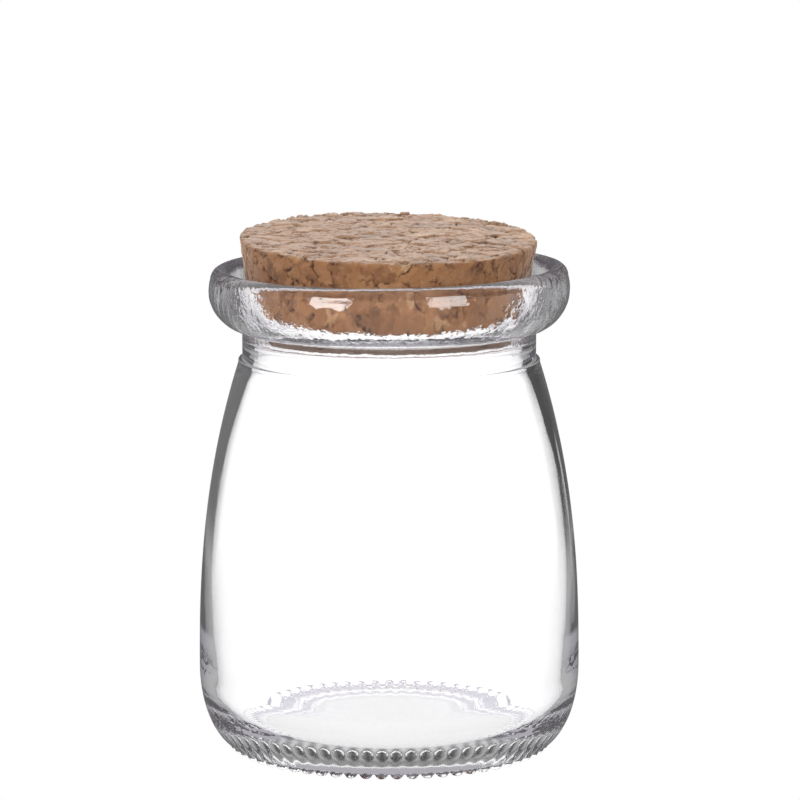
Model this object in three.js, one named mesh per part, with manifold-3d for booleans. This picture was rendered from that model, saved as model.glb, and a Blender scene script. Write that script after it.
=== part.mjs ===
// A small round glass dessert jar, empty, with a tapered cork pushed askew into its flared lip.
// Millimetres, +Z up. The jar stands on z = 0 with its axis on the Z axis, and its front faces -Y.
import * as THREE from "three";
import { mergeVertices } from "three/addons/utils/BufferGeometryUtils.js";
import Module from "manifold-3d";

// How finely round things are cut.
const SIDES = 64;
const BEAD_SIDES = 8;
const STEPS = {
  heel: 5,
  wall: 7,
  lip: 5,
  rim: 6,
  bowl: 6,
  throatEdge: 3,
  insideWall: 8,
  floorCorner: 4,
};

// Body: a belly low down, a heel that rounds in under it, and a wall that leans in to the neck.
const BELLY_RADIUS = 31;
const BELLY_Z = 13.5;
const HEEL_REACH = 6.66;
const HEEL_DROP = 13.2;
const NECK_FOOT_RADIUS = 24.45;
const NECK_FOOT_Z = 63.4;
const WALL_LEAN = 2.4;

// Base: an underside pushed up inside a standing ring of small moulded beads.
const RING_Z = 1.05;
const RING_INNER_RADIUS = 23.2;
const PUSH_UP_RADIUS = 20.5;
const PUSH_UP_Z = 1.3;
const PUSH_UP_DISH = 0.1;
const BEADS = 64;
const BEAD_RADIUS = 1.08;
const BEAD_SHOULDER_RADIUS = 0.86;
const BEAD_TIP_RADIUS = 0.45;
const BEAD_SHOULDER_Z = 0.34;
const BEAD_STRETCH = 1.55;
const BEAD_ROOT = 0.25;
const BEAD_CIRCLE_RADIUS = 24.85;

// Neck: a short upright band, a shade wider at its foot, under a lip shaped like a shallow bowl.
const NECK_RADIUS = 23.8;
const NECK_STEP_Z = 64.1;
const NECK_FOOT_ROUND = 0.25;
const LIP_ARC_RADIUS = 6.5;
const LIP_ARC_CENTRE_RADIUS = 22.7;
const LIP_ARC_CENTRE_Z = 75.2;
const RIM_Z = 79;
const RIM_ROUND = 1.8;

// Inside: a floor with a round corner, a wall that is thinnest at its middle, a straight throat, and
// a mouth like a shallow bowl with a squarish corner, whose shelf carries the cork.
const FLOOR_Z = 2.7;
const FLOOR_CORNER = 9;
const THIN_WALL = 1.45;
const THIN_WALL_Z = 36;
const FOOT_WALL = 2.45;
const HEAD_WALL = 2.6;
const HEAD_WALL_Z = 62;
const THROAT_RADIUS = 21.2;
const THROAT_FOOT_Z = 65.2;
const MOUTH_RADIUS = 25.6;
const MOUTH_Z = 77.2;
const BOWL_REACH = 5;
const BOWL_DEPTH = 6.4;
const BOWL_SQUARENESS = 2.5;
const BOWL_SWEEP = THREE.MathUtils.degToRad(70);
const THROAT_ROUND = 1.45;

// Cork: a slice of a cone, wider at the top, that leans towards the front and a touch to the right.
const CORK_TOP_RADIUS = 24;
const CORK_BOTTOM_RADIUS = 22.15;
const CORK_HEIGHT = 11.2;
const CORK_EDGE = 0.35;
const CORK_PIVOT = new THREE.Vector3(-0.3, 0, 74);
const CORK_TOP_ABOVE_PIVOT = 9.7;
const CORK_LEAN_FRONT = THREE.MathUtils.degToRad(2.85);
const CORK_LEAN_RIGHT = THREE.MathUtils.degToRad(0.85);

// Finishes.
const GLASS = { color: 0xe9eeee, roughness: 0.04, metalness: 0, transparent: true, opacity: 0.4 };
const CORK = { color: 0xb98f68, roughness: 0.88, metalness: 0 };

const point = (radius, z) => new THREE.Vector2(radius, z);

// Points of a curve given by a function of 0..1, both ends included.
function sampled(steps, place) {
  return Array.from({ length: steps + 1 }, (_, i) => place(i / steps));
}

// Outer radius of the leaning wall: it leaves the belly slowly and leans in faster towards the neck.
function wallRadius(z) {
  const height = (z - BELLY_Z) / (NECK_FOOT_Z - BELLY_Z);
  return BELLY_RADIUS - (BELLY_RADIUS - NECK_FOOT_RADIUS) * height ** WALL_LEAN;
}

// The heel is a quarter of an ellipse, from the standing ring up to the belly.
function heel(steps) {
  const low = Math.asin((BELLY_Z - RING_Z) / HEEL_DROP);
  return sampled(steps, (t) => {
    const angle = low * (1 - t);
    return point(
      BELLY_RADIUS - HEEL_REACH * (1 - Math.cos(angle)),
      BELLY_Z - HEEL_DROP * Math.sin(angle),
    );
  });
}

function wall(steps) {
  return sampled(steps, (t) => {
    const z = BELLY_Z + (NECK_FOOT_Z - BELLY_Z) * t;
    return point(wallRadius(z), z);
  }).slice(1);
}

// The lip's outside: an arc that swings out from the neck until it stands upright.
function lipOutside(steps) {
  const start = Math.acos((NECK_RADIUS - LIP_ARC_CENTRE_RADIUS) / LIP_ARC_RADIUS);
  return sampled(steps, (t) => {
    const angle = start * (1 - t);
    return point(
      LIP_ARC_CENTRE_RADIUS + LIP_ARC_RADIUS * Math.cos(angle),
      LIP_ARC_CENTRE_Z - LIP_ARC_RADIUS * Math.sin(angle),
    );
  });
}

// The rim is rounded from the lip's outside over to the mouth.
function rim(steps) {
  const outer = LIP_ARC_CENTRE_RADIUS + LIP_ARC_RADIUS;
  const middle = (outer + MOUTH_RADIUS) / 2;
  const half = (outer - MOUTH_RADIUS) / 2;
  return sampled(steps, (t) => {
    const angle = Math.PI * t;
    return point(middle + half * Math.cos(angle), RIM_Z - RIM_ROUND * (1 - Math.sin(angle)));
  });
}

// The bowl of the mouth is part of a squarish quarter ellipse.
function bowl(steps) {
  const power = 2 / BOWL_SQUARENESS;
  return sampled(steps, (t) => {
    const angle = BOWL_SWEEP * t;
    return point(
      MOUTH_RADIUS - BOWL_REACH * (1 - Math.cos(angle) ** power),
      MOUTH_Z - BOWL_DEPTH * Math.sin(angle) ** power,
    );
  }).slice(1);
}

// Where the bowl's shelf meets the throat, a rounded edge turns down from the slope of the shelf.
function throatEdge(steps, before, shelfEnd) {
  const slope = (shelfEnd.y - before.y) / (shelfEnd.x - before.x);
  const corner = point(THROAT_RADIUS, shelfEnd.y + (THROAT_RADIUS - shelfEnd.x) * slope);
  const foot = point(THROAT_RADIUS, corner.y - THROAT_ROUND);
  return new THREE.QuadraticBezierCurve(shelfEnd, corner, foot).getPoints(steps).slice(1);
}

function mouth(bowlSteps, edgeSteps) {
  const sides = bowl(bowlSteps);
  return [...sides, ...throatEdge(edgeSteps, ...sides.slice(-2))];
}

// The glass thickens with the square of the height above or below the thinnest ring.
function wallThickness(z, endThickness, endZ) {
  const share = (z - THIN_WALL_Z) / (endZ - THIN_WALL_Z);
  return THIN_WALL + (endThickness - THIN_WALL) * share ** 2;
}

function insideWall(steps) {
  const bottom = FLOOR_Z + FLOOR_CORNER;
  return sampled(steps, (t) => {
    const z = HEAD_WALL_Z + (bottom - HEAD_WALL_Z) * t;
    const thickness =
      z > THIN_WALL_Z
        ? wallThickness(z, HEAD_WALL, HEAD_WALL_Z)
        : wallThickness(z, FOOT_WALL, bottom);
    return point(wallRadius(Math.max(z, BELLY_Z)) - thickness, z);
  });
}

function floorCorner(steps) {
  const radius = BELLY_RADIUS - FOOT_WALL - FLOOR_CORNER;
  return sampled(steps, (t) => {
    const angle = (Math.PI / 2) * t;
    return point(
      radius + FLOOR_CORNER * Math.cos(angle),
      FLOOR_Z + FLOOR_CORNER * (1 - Math.sin(angle)),
    );
  }).slice(1);
}

// Turns a profile of radius and height about the Z axis.
function turned(profile, sides) {
  return new THREE.LatheGeometry(profile, sides).rotateX(Math.PI / 2);
}

const wasm = await Module();
wasm.setup();

function toSolid(geometry) {
  const bare = geometry.clone();
  bare.deleteAttribute("normal");
  bare.deleteAttribute("uv");
  const merged = mergeVertices(bare, 1e-3);
  return new wasm.Manifold(
    new wasm.Mesh({
      numProp: 3,
      vertProperties: merged.attributes.position.array,
      triVerts: new Uint32Array(merged.index.array),
    }),
  );
}

function toGeometry(solid) {
  const mesh = solid.getMesh();
  const geometry = new THREE.BufferGeometry();
  geometry.setAttribute("position", new THREE.BufferAttribute(mesh.vertProperties, 3));
  geometry.setIndex(new THREE.BufferAttribute(mesh.triVerts, 1));
  geometry.computeVertexNormals();
  return geometry;
}

// One bead of the standing ring: a flat-tipped dome, stretched along the jar's radius.
function bead(index) {
  const rootZ = RING_Z + BEAD_ROOT;
  const dome = turned(
    [
      point(0, 0),
      point(BEAD_TIP_RADIUS, 0),
      point(BEAD_SHOULDER_RADIUS, BEAD_SHOULDER_Z),
      point(BEAD_RADIUS, rootZ),
      point(0, rootZ),
    ],
    BEAD_SIDES,
  );
  return dome
    .rotateZ(Math.PI / BEAD_SIDES)
    .scale(BEAD_STRETCH, 1, 1)
    .translate(BEAD_CIRCLE_RADIUS, 0, 0)
    .rotateZ(((index + 0.5) * 2 * Math.PI) / BEADS);
}

function jarGeometry() {
  const profile = [
    point(0, PUSH_UP_Z),
    point(PUSH_UP_RADIUS, PUSH_UP_Z - PUSH_UP_DISH),
    point(RING_INNER_RADIUS, RING_Z),
    ...heel(STEPS.heel),
    ...wall(STEPS.wall),
    point(NECK_FOOT_RADIUS - NECK_FOOT_ROUND, NECK_STEP_Z - NECK_FOOT_ROUND),
    point(NECK_RADIUS, NECK_STEP_Z),
    ...lipOutside(STEPS.lip),
    ...rim(STEPS.rim),
    ...mouth(STEPS.bowl, STEPS.throatEdge),
    point(THROAT_RADIUS, THROAT_FOOT_Z),
    ...insideWall(STEPS.insideWall),
    ...floorCorner(STEPS.floorCorner),
    point(0, FLOOR_Z),
  ];
  const beads = Array.from({ length: BEADS }, (_, i) => toSolid(bead(i)));
  return toGeometry(wasm.Manifold.union([toSolid(turned(profile, SIDES)), ...beads]));
}

function corkGeometry() {
  const bottom = CORK_TOP_ABOVE_PIVOT - CORK_HEIGHT;
  return turned(
    [
      point(0, bottom),
      point(CORK_BOTTOM_RADIUS - CORK_EDGE, bottom),
      point(CORK_BOTTOM_RADIUS, bottom + CORK_EDGE),
      point(CORK_TOP_RADIUS, CORK_TOP_ABOVE_PIVOT - CORK_EDGE),
      point(CORK_TOP_RADIUS - CORK_EDGE, CORK_TOP_ABOVE_PIVOT),
      point(0, CORK_TOP_ABOVE_PIVOT),
    ],
    SIDES,
  );
}

function piece(name, geometry, finish) {
  const mesh = new THREE.Mesh(geometry, new THREE.MeshStandardMaterial(finish));
  mesh.name = name;
  return mesh;
}

const stoppered = new THREE.Group();
stoppered.add(piece("jar", jarGeometry(), GLASS));

const corkSeat = new THREE.Group();
corkSeat.position.copy(CORK_PIVOT);
corkSeat.rotation.set(CORK_LEAN_FRONT, CORK_LEAN_RIGHT, 0, "YXZ");
corkSeat.add(piece("cork", corkGeometry(), CORK));
stoppered.add(corkSeat);

export default stoppered;
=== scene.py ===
# %% [markdown]
# # A glass jar with a cork
#
# The object is a small empty dessert jar of clear moulded glass. It has a lip shaped like a shallow
# bowl, a short neck, a wall that leans in, a rounded heel and a ring of moulded beads to stand on. A
# tapered slice of cork, pressed from granules, sits a little askew in the lip.
#
# Both pieces are turned forms, so each is made as a profile that runs round an axis, worked out
# with numpy. The relief of the glass and of the cork is added to the points of that surface.

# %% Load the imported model
import math

import bpy
import numpy as np
from mathutils import Euler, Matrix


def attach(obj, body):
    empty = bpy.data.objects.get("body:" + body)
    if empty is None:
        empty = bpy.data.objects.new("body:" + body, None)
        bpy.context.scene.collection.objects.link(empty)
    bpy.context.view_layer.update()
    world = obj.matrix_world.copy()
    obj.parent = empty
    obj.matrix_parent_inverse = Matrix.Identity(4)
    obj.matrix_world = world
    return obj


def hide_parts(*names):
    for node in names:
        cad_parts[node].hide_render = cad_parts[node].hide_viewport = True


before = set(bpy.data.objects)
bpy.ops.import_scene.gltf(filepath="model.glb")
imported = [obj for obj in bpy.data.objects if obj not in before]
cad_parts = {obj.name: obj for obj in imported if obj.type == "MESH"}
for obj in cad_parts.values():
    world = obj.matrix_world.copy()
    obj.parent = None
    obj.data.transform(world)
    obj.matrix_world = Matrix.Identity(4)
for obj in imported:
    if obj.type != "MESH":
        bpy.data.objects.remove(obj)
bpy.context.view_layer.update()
MM = 0.001


# %% [markdown]
# ## Helpers for surfaces
#
# A grid of points becomes a mesh by joining each point to its neighbours. A Screw modifier could
# turn a profile too, but here every point is moved afterwards by a formula. So the index arrays of
# the faces are worked out for the whole grid at once, and foreach_set hands them to Blender without
# a loop over vertices. That keeps a surface of a hundred thousand faces quick to make.


# %% Faces of a turned surface
def ring_faces(rings, around, first=0):
    """Quads between neighbouring rings: points j and j + 1 of one ring and of the next one."""
    i = np.arange(rings - 1)[:, None]
    j = np.arange(around)[None, :]
    right = (j + 1) % around
    corners = [i * around + j, i * around + right, (i + 1) * around + right, (i + 1) * around + j]
    return first + np.stack(np.broadcast_arrays(*corners), -1).reshape(-1, 4)


def fan_faces(centre, ring, inwards):
    """Triangles from one centre point to every edge of a closed ring."""
    after = np.roll(ring, -1)
    sides = (after, ring) if inwards else (ring, after)
    return np.stack([np.full(len(ring), centre), *sides], -1)


# %% A mesh object from arrays
def mesh_object(name, points_mm, quads, triangles, material):
    """Points in mm and faces as index arrays become a smooth mesh object in metres."""
    mesh = bpy.data.meshes.new(name)
    corners = np.concatenate([quads.ravel(), triangles.ravel()]).astype(np.int32)
    sizes = np.concatenate([np.full(len(quads), 4), np.full(len(triangles), 3)])
    starts = np.concatenate([[0], np.cumsum(sizes)[:-1]]).astype(np.int32)
    mesh.vertices.add(len(points_mm))
    mesh.vertices.foreach_set("co", (points_mm * MM).astype(np.float32).ravel())
    mesh.loops.add(len(corners))
    mesh.loops.foreach_set("vertex_index", corners)
    mesh.polygons.add(len(sizes))
    mesh.polygons.foreach_set("loop_start", starts)
    mesh.polygons.foreach_set("use_smooth", np.ones(len(sizes), bool))
    mesh.update(calc_edges=True)
    mesh.validate()
    mesh.materials.append(material)
    piece = bpy.data.objects.new(name, mesh)
    bpy.context.scene.collection.objects.link(piece)
    print(name, "has", len(quads) * 2 + len(triangles), "triangles")
    return piece


# %% [markdown]
# ## Waves
#
# Moulded glass is never quite even, and neither is cut cork. A sum of sine waves with drawn
# directions and phases gives a smooth unevenness that can be read at any point of a surface. The
# draws start from a seed, so it comes out the same each time.

# %% Smooth unevenness
WAVE_COUNT = 24
WAVE_SPREAD = (0.7, 1.5)


def waves(points, wavelength, seed):
    """Sum of sines along random directions, with lengths near the given one, mostly from -1 to 1."""
    draw = np.random.default_rng(seed)
    direction = draw.normal(size=(WAVE_COUNT, 3))
    direction /= np.linalg.norm(direction, axis=1, keepdims=True)
    number = 2 * np.pi / (wavelength * draw.uniform(*WAVE_SPREAD, WAVE_COUNT))
    phase = draw.uniform(0, 2 * np.pi, WAVE_COUNT)
    flat = points.reshape(-1, 3)
    total = np.zeros(len(flat))
    for k in range(WAVE_COUNT):
        total += np.sin(flat @ (direction[k] * number[k]) + phase[k])
    return (total / np.sqrt(WAVE_COUNT)).reshape(points.shape[:-1])


def wander(points, wavelength, seed):
    """Three waves, one for each axis, that move a point smoothly to and fro."""
    return np.stack([waves(points, wavelength, seed + axis) for axis in range(3)], -1)


def fade(value, start, end):
    """Smooth step from 0 at start to 1 at end."""
    t = np.clip((value - start) / (end - start), 0, 1)
    return t * t * (3 - 2 * t)


# %% [markdown]
# ## Shader maths
#
# Node trees read best as formulas. A small class wraps a socket, so that an expression such as
# 1 - mask * 0.5 adds its Math nodes by itself. Colours don't take part in it, because a Math node
# would turn them grey. They are mixed by Mix nodes.


# %% Sockets that take part in arithmetic
class Value:
    """A node socket that takes part in arithmetic."""

    def __init__(self, tree, socket):
        self.tree = tree
        self.socket = socket

    def maths(self, operation, *others, swapped=False):
        inputs = [self, *others]
        if swapped:
            inputs.reverse()
        return self.tree.node("ShaderNodeMath", {"operation": operation}, dict(enumerate(inputs)))

    def __add__(self, other):
        return self.maths("ADD", other)

    def __sub__(self, other):
        return self.maths("SUBTRACT", other)

    def __rsub__(self, other):
        return self.maths("SUBTRACT", other, swapped=True)

    def __mul__(self, other):
        return self.maths("MULTIPLY", other)

    def __gt__(self, other):
        return self.maths("GREATER_THAN", other)

    __radd__ = __add__
    __rmul__ = __mul__


# %% A node tree
class Tree:
    """A node tree with one method that adds any node, and short names for the ones used most."""

    def __init__(self, owner):
        owner.use_nodes = True
        self.nodes = owner.node_tree.nodes
        self.links = owner.node_tree.links
        self.nodes.clear()

    def node(self, kind, settings=None, inputs=None, output=0):
        """Adds a node: its settings first, then values or links for its sockets."""
        made = self.nodes.new(kind)
        for key, value in (settings or {}).items():
            if key == "stops":
                ramp = made.color_ramp.elements
                while len(ramp) < len(value):
                    ramp.new(1)
                for stop, (place, colour) in zip(ramp, value):
                    stop.position = place
                    stop.color = (*colour, 1)
            else:
                setattr(made, key, value)
        for key, value in (inputs or {}).items():
            if isinstance(value, Value):
                self.links.new(value.socket, made.inputs[key])
            else:
                made.inputs[key].default_value = value
        return Value(self, made.outputs[output]) if made.outputs else None

    def mix(self, factor, first, second):
        """Mix of two colours."""
        return self.node("ShaderNodeMix", {"data_type": "RGBA"}, {0: factor, 6: first, 7: second}, 2)

    def choose(self, factor, first, second):
        """Mix of two shaders: the first at factor 0 and the second at 1."""
        return self.node("ShaderNodeMixShader", None, {0: factor, 1: first, 2: second})

    def ramp(self, value, low, high):
        """Value carried smoothly from 0 at low to 1 at high."""
        sockets = {"Value": value, "From Min": low, "From Max": high}
        return self.node("ShaderNodeMapRange", {"interpolation_type": "SMOOTHSTEP"}, sockets)

    def axis(self, place, k):
        """The x, y or z of a vector, for k of 0, 1 or 2."""
        return self.node("ShaderNodeSeparateXYZ", None, {0: place}, k)

    def turn(self, first, second):
        """The angle of a right triangle with these two sides, in radians, by ARCTAN2."""
        return self.node("ShaderNodeMath", {"operation": "ARCTAN2"}, {0: first, 1: second})

    def noise(self, place, per_m, detail):
        """Cloudy noise from 0 to 1, about half, with so many lumps to a metre."""
        return self.node("ShaderNodeTexNoise", None, {"Vector": place, "Scale": per_m, "Detail": detail})

    def bump(self, height, depth, strength):
        """A height made into a normal, with its full depth in metres."""
        sockets = {"Height": height, "Distance": depth, "Strength": strength}
        return self.node("ShaderNodeBump", None, sockets)

    def ray(self, name):
        """What the Light Path node knows of the ray that looks at the surface."""
        return self.node("ShaderNodeLightPath", output=name)


def new_material(name):
    """A material and its empty node tree."""
    material = bpy.data.materials.new(name)
    return material, Tree(material)


# %% [markdown]
# ## Clear glass
#
# The real jar is soda-lime glass, nearly without colour. A Glass shader would do for a window, but
# a thick jar needs more. Where the line of sight runs a long way through the wall it turns a soft
# violet grey, so the inside of the solid has a faint Volume Absorption. The surface is a Principled
# shader, because its Base Color can be tinted from place to place, and the lip has a fine ripple.
#
# Heights in this finish are in metres, as Object coordinates are.

# %% Ripple of the lip
RIPPLE_SIZE_PER_M = 1300.0
RIPPLE_DETAIL = 2.0
RIPPLE_DEPTH = 0.00004
RIPPLE_FROM = (0.066, 0.070)


def lip_ripple(tree, place, z):
    """Noise times a smooth step of height, so that it starts in the neck and is full on the lip."""
    height = tree.noise(place, RIPPLE_SIZE_PER_M, RIPPLE_DETAIL) * tree.ramp(z, *RIPPLE_FROM)
    return tree.bump(height, RIPPLE_DEPTH, 1.0)


# %% [markdown]
# Seen at a low angle, real glass looks darker, because most of what it shows there is the dark
# side of the room. A tint by Facing paints that darkness into the glass's colour as painted shade.
# It differs by place: faint on the wall, stronger on the neck, strongest on the round of the lip,
# and even over the thick rim, where it is painted shade on all that is seen through the rim.

# %% Painted shade where the glass is seen edge on
# Colours of painted shade in the glass's tint, for the dark room that edge-on glass shows.
WALL_EDGE_SHADE = (0.80, 0.79, 0.83, 1)
WALL_TURN = (0.66, 0.90)
NECK_EDGE_SHADE = (0.74, 0.73, 0.75, 1)
NECK_TURN = (0.35, 0.75)
NECK_FROM = (0.0625, 0.0640)
NECK_TO = (0.0668, 0.0680)
LIP_EDGE_SHADE = (0.56, 0.54, 0.56, 1)
LIP_TURN = (0.30, 0.42)
LIP_TIP = (0.56, 0.68)
LIP_FROM = (0.0715, 0.0735)
# Painted shade over the rim: it darkens the band seen through the rim, where the rim shades the cork.
RIM_PAINTED_SHADE = (0.76, 0.70, 0.70, 1)
RIM_FROM = (0.0771, 0.0778)
EVEN_BLEND = 0.5


def painted_edge_shade(tree, z):
    """Painted shade in the tint: the wall's, and over it the neck's, the lip's and the rim's, each at
    its own heights.
    """
    facing = tree.node("ShaderNodeLayerWeight", None, {"Blend": EVEN_BLEND}, "Facing")
    wall = tree.mix(tree.ramp(facing, *WALL_TURN), (1, 1, 1, 1), WALL_EDGE_SHADE)
    on_neck = tree.ramp(z, *NECK_FROM) * (1 - tree.ramp(z, *NECK_TO)) * tree.ramp(facing, *NECK_TURN)
    neck = tree.mix(on_neck, wall, NECK_EDGE_SHADE)
    round_of_lip = tree.ramp(facing, *LIP_TURN) * (1 - tree.ramp(facing, *LIP_TIP))
    lip = tree.mix(tree.ramp(z, *LIP_FROM) * round_of_lip, neck, LIP_EDGE_SHADE)
    return tree.mix(tree.ramp(z, *RIM_FROM), lip, RIM_PAINTED_SHADE)


# %% [markdown]
# Some light stays caught between the two faces of the wall and goes round for a long time. A
# renderer gives up after a set number of bounces and shows black. Real glass shows a dull glow, so a
# ray that has bounced nearly that often sees an Emission shader in place of the surface. It is dim
# at the lip, lighter at the foot, and lightest at the far side, which is seen through the hollow.

# %% Light that stays caught in the glass
CAUGHT_DEPTH = 11
CROSSED_DEPTH = 2.5
LIP_GLOW = (0.13, 0.12, 0.125, 1)
FOOT_GLOW = (0.50, 0.49, 0.51, 1)
FOOT_TO = (0.002, 0.005)
FAR_GLOW = (0.84, 0.83, 0.86, 1)


def has_crossed(tree):
    """1 for a ray that has passed three glass surfaces or more, so has been in the hollow."""
    return tree.ray("Transmission Depth") > CROSSED_DEPTH


def caught_glow(tree, z):
    """The glow's colour by height, and another one where the ray has crossed the hollow."""
    near = tree.mix(tree.ramp(z, *FOOT_TO), FOOT_GLOW, LIP_GLOW)
    colour = tree.mix(has_crossed(tree), near, FAR_GLOW)
    return tree.node("ShaderNodeEmission", None, {"Color": colour, "Strength": 1.0})


# %% [markdown]
# Lamps have to light the cork through the lip, and a shadow ray can't bend, so for shadow rays
# alone the surface is a plain transparent one, darker at the thick rim.

# %% Glass
GLASS_IOR = 1.52
GLASS_TINT = (0.80, 0.78, 0.86, 1)
GLASS_ABSORPTION_PER_M = 16.0
GLASS_SHADOW = (0.93, 0.93, 0.94, 1)
RIM_SHADOW = (0.42, 0.40, 0.42, 1)


def glass_surface(tree, place, z):
    """Smooth glass that lets all light in, with painted edge shade as its tint, and its ripple."""
    sockets = {
        "Base Color": painted_edge_shade(tree, z),
        "Transmission Weight": 1.0,
        "IOR": GLASS_IOR,
        "Roughness": 0.0,
        "Normal": lip_ripple(tree, place, z),
    }
    return tree.node("ShaderNodeBsdfPrincipled", None, sockets)


def glass_material():
    """The surface, its glow for caught rays, its stand-in for shadow rays, and the solid's inside."""
    material, tree = new_material("clear_glass")
    place = tree.node("ShaderNodeTexCoord", output="Object")
    z = tree.axis(place, 2)
    caught = tree.ray("Ray Depth") > CAUGHT_DEPTH
    followed = tree.choose(caught, glass_surface(tree, place, z), caught_glow(tree, z))
    shade = tree.mix(tree.ramp(z, *RIM_FROM), GLASS_SHADOW, RIM_SHADOW)
    shadow = tree.node("ShaderNodeBsdfTransparent", None, {"Color": shade})
    surface = tree.choose(tree.ray("Is Shadow Ray"), followed, shadow)
    sockets = {"Color": GLASS_TINT, "Density": GLASS_ABSORPTION_PER_M}
    inside = tree.node("ShaderNodeVolumeAbsorption", None, sockets)
    tree.node("ShaderNodeOutputMaterial", None, {"Surface": surface, "Volume": inside})
    material.cycles.emission_sampling = "NONE"
    return material


# %% [markdown]
# ## The jar's profile
#
# Seen from the side the jar is one closed outline: across the underside, round the heel, up the
# wall, round the neck and lip, over the rim, and back down the inside. It could be drawn by hand as
# a Bezier curve, but then its sizes would be hidden in the handles. Here each stretch is a short
# formula with named sizes, sampled as finely as its bends need. All sizes are in mm.


# %% Stretches of an outline
def steps(count):
    """Even steps from 0 to 1."""
    return np.linspace(0, 1, count)


def stretch(radius, z):
    """Points as pairs of a radius and a height."""
    return np.stack(np.broadcast_arrays(radius, z), -1).astype(float)


# %% Wall
BELLY_RADIUS = 31
BELLY_Z = 13.5
NECK_FOOT_RADIUS = 24.45
NECK_FOOT_Z = 63.4
WALL_LEAN = 2.4


def wall_radius(z):
    """The wall leaves the belly slowly and leans in faster towards the neck, as a power of height."""
    height = (np.maximum(z, BELLY_Z) - BELLY_Z) / (NECK_FOOT_Z - BELLY_Z)
    return BELLY_RADIUS - (BELLY_RADIUS - NECK_FOOT_RADIUS) * height**WALL_LEAN


def wall(count):
    """Even heights from the belly to the foot of the neck, at the wall's radius."""
    z = BELLY_Z + (NECK_FOOT_Z - BELLY_Z) * steps(count)
    return stretch(wall_radius(z), z)


print("half way up, the wall has leant in", round(BELLY_RADIUS - wall(3)[1, 0], 2), "mm")

# %% Underside and standing ring
RING_Z = 1.05
RING_INNER_RADIUS = 23.2
PUSH_UP_RADIUS = 20.5
PUSH_UP_Z = 1.3
PUSH_UP_DISH = 0.1
HEEL_REACH = 6.66
HEEL_DROP = 13.2


def underside(count):
    """A flat middle that dips a little, then a cone down to the standing ring."""
    radius = RING_INNER_RADIUS * steps(count)
    dish = PUSH_UP_Z - PUSH_UP_DISH * np.minimum(radius / PUSH_UP_RADIUS, 1)
    cone = (PUSH_UP_Z - PUSH_UP_DISH - RING_Z) * fade(radius, PUSH_UP_RADIUS, RING_INNER_RADIUS)
    return stretch(radius, dish - cone)


def heel(count):
    """Part of a quarter ellipse, from the standing ring up to the belly."""
    low = math.asin((BELLY_Z - RING_Z) / HEEL_DROP)
    angle = low * (1 - steps(count))
    radius = BELLY_RADIUS - HEEL_REACH * (1 - np.cos(angle))
    return stretch(radius, BELLY_Z - HEEL_DROP * np.sin(angle))


def standing_ring(count):
    """A level ring, which the beads hang from, out to where the heel starts."""
    width = heel(2)[0, 0] - RING_INNER_RADIUS
    return stretch(RING_INNER_RADIUS + width * steps(count), RING_Z)


print("the standing ring is", round(float(np.ptp(standing_ring(2)[:, 0])), 2), "mm wide")

# %% Neck and lip
NECK_RADIUS = 23.8
NECK_STEP_Z = 64.1
NECK_STEP_ROUND = 0.25
LIP_ARC_RADIUS = 6.5
LIP_ARC_CENTRE_RADIUS = 22.7
LIP_ARC_CENTRE_Z = 75.2
LIP_RADIUS = LIP_ARC_CENTRE_RADIUS + LIP_ARC_RADIUS
LIP_SIDE_RADIUS = 8
LIP_SIDE_TOP_Z = 77.6


def neck_step(count):
    """The end of the wall rounds in to the neck along a quarter ellipse."""
    angle = np.pi / 2 * steps(count)
    radius = NECK_RADIUS + (NECK_FOOT_RADIUS - NECK_RADIUS) * np.cos(angle)
    return stretch(radius, NECK_STEP_Z - NECK_STEP_ROUND + NECK_STEP_ROUND * np.sin(angle))


def lip_outside(count):
    """An arc that swings out from the neck until it stands upright."""
    start = math.acos((NECK_RADIUS - LIP_ARC_CENTRE_RADIUS) / LIP_ARC_RADIUS)
    angle = start * (1 - steps(count))
    radius = LIP_ARC_CENTRE_RADIUS + LIP_ARC_RADIUS * np.cos(angle)
    return stretch(radius, LIP_ARC_CENTRE_Z - LIP_ARC_RADIUS * np.sin(angle))


def lip_side(count):
    """Above its widest ring the lip leans in again along a large arc, drawn as a parabola."""
    z = LIP_ARC_CENTRE_Z + (LIP_SIDE_TOP_Z - LIP_ARC_CENTRE_Z) * steps(count)
    return stretch(LIP_RADIUS - (z - LIP_ARC_CENTRE_Z) ** 2 / (2 * LIP_SIDE_RADIUS), z)


print("the lip is", round(2 * LIP_RADIUS, 2), "mm across")

# %% Rim
RIM_Z = 79
MOUTH_RADIUS = 25.6
MOUTH_Z = 77.2


def rim(count):
    """Two quarter ellipses, from the lip's side up to the crown and from there down to the mouth."""
    half = count // 2
    side_radius = lip_side(2)[-1, 0]
    crown = (side_radius + MOUTH_RADIUS) / 2
    up = np.pi / 2 * steps(half)
    down = np.pi / 2 * steps(count - half + 1)[1:]
    outer_radius = crown + (side_radius - crown) * np.cos(up)
    inner_radius = crown - (crown - MOUTH_RADIUS) * np.sin(down)
    outer = stretch(outer_radius, LIP_SIDE_TOP_Z + (RIM_Z - LIP_SIDE_TOP_Z) * np.sin(up))
    inner = stretch(inner_radius, MOUTH_Z + (RIM_Z - MOUTH_Z) * np.cos(down))
    return np.concatenate([outer, inner])


print("the rim is", round(lip_side(2)[-1, 0] - MOUTH_RADIUS, 2), "mm thick")

# %% [markdown]
# The inside can't be seen for itself, but the glass shows it. The dark bands at the edges of the
# wall are as wide as the wall is thick there, so the inside follows the outside at a distance that
# changes with height. The bowl of the lip ends in a shelf, with a straight throat below it.

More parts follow.
